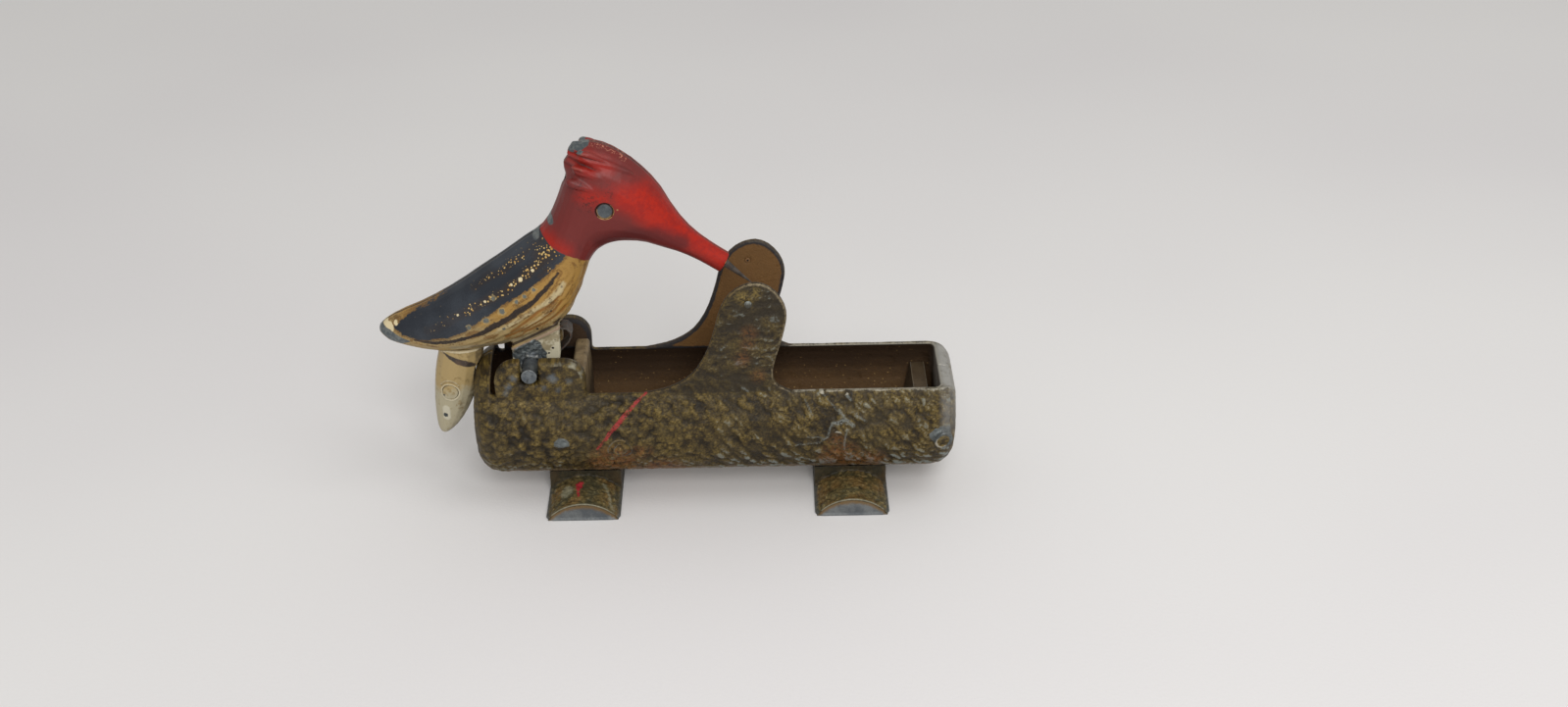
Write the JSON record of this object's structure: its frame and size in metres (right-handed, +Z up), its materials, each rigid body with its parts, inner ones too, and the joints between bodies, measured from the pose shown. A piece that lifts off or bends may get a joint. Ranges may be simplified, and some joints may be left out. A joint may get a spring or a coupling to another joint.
{
  "type": "toothpick dispenser",
  "caption": "Cast metal woodpecker that pivots on a hollow log and spears a pick from the trough with a steel needle in its beak.",
  "frame": {"origin": "on the table, under the middle of the whole part", "axes": "+X along the log towards its plain right end, +Y from the near side to the far side, +Z up"},
  "size_m": [0.1396, 0.0394, 0.0915],
  "materials": {
    "bark": "gold and brown paint over a cast bark relief, worn to grey metal on the ridges",
    "insert": "smooth tan paint, thin at the edges",
    "plumage": "satin red head, blue-black wings with cream stripes, ochre breast, chipped to grey metal",
    "cream": "satin cream paint with chips",
    "grey_metal": "bare worn grey metal",
    "steel": "dark oxidised steel"
  },
  "bodies": {
    "log_base": {"log_front_half": "bark", "log_rear_half": "bark", "bulkhead": "insert", "trough_ramp": "insert", "end_plug": "grey_metal", "foot_left": "bark", "foot_right": "bark", "foot_rivet_left_front": "grey_metal", "foot_rivet_left_rear": "grey_metal", "foot_rivet_right_front": "grey_metal", "foot_rivet_right_rear": "grey_metal", "post_rivet_front": "grey_metal", "post_rivet_rear": "grey_metal"},
    "woodpecker": {"bird_near_half": "plumage", "bird_far_half": "plumage", "tail_weight": "cream", "tail_plug": "cream", "eye_pin": "grey_metal", "needle": "steel", "axle": "grey_metal", "axle_collar_near": "grey_metal", "axle_collar_far": "grey_metal", "return_spring": "steel", "spring_rivet": "grey_metal"}
  },
  "joints": [
    {"name": "peck", "type": "hinge", "parent": "log_base", "child": "woodpecker", "pos_m": [-0.03325, 0, 0.0365], "axis": [0, 1, 0], "range_deg": [0, 47], "stiffness_Nm_per_rad": 0.02, "springref_deg": -28.65, "deforming": ["return_spring"]}
  ]
}
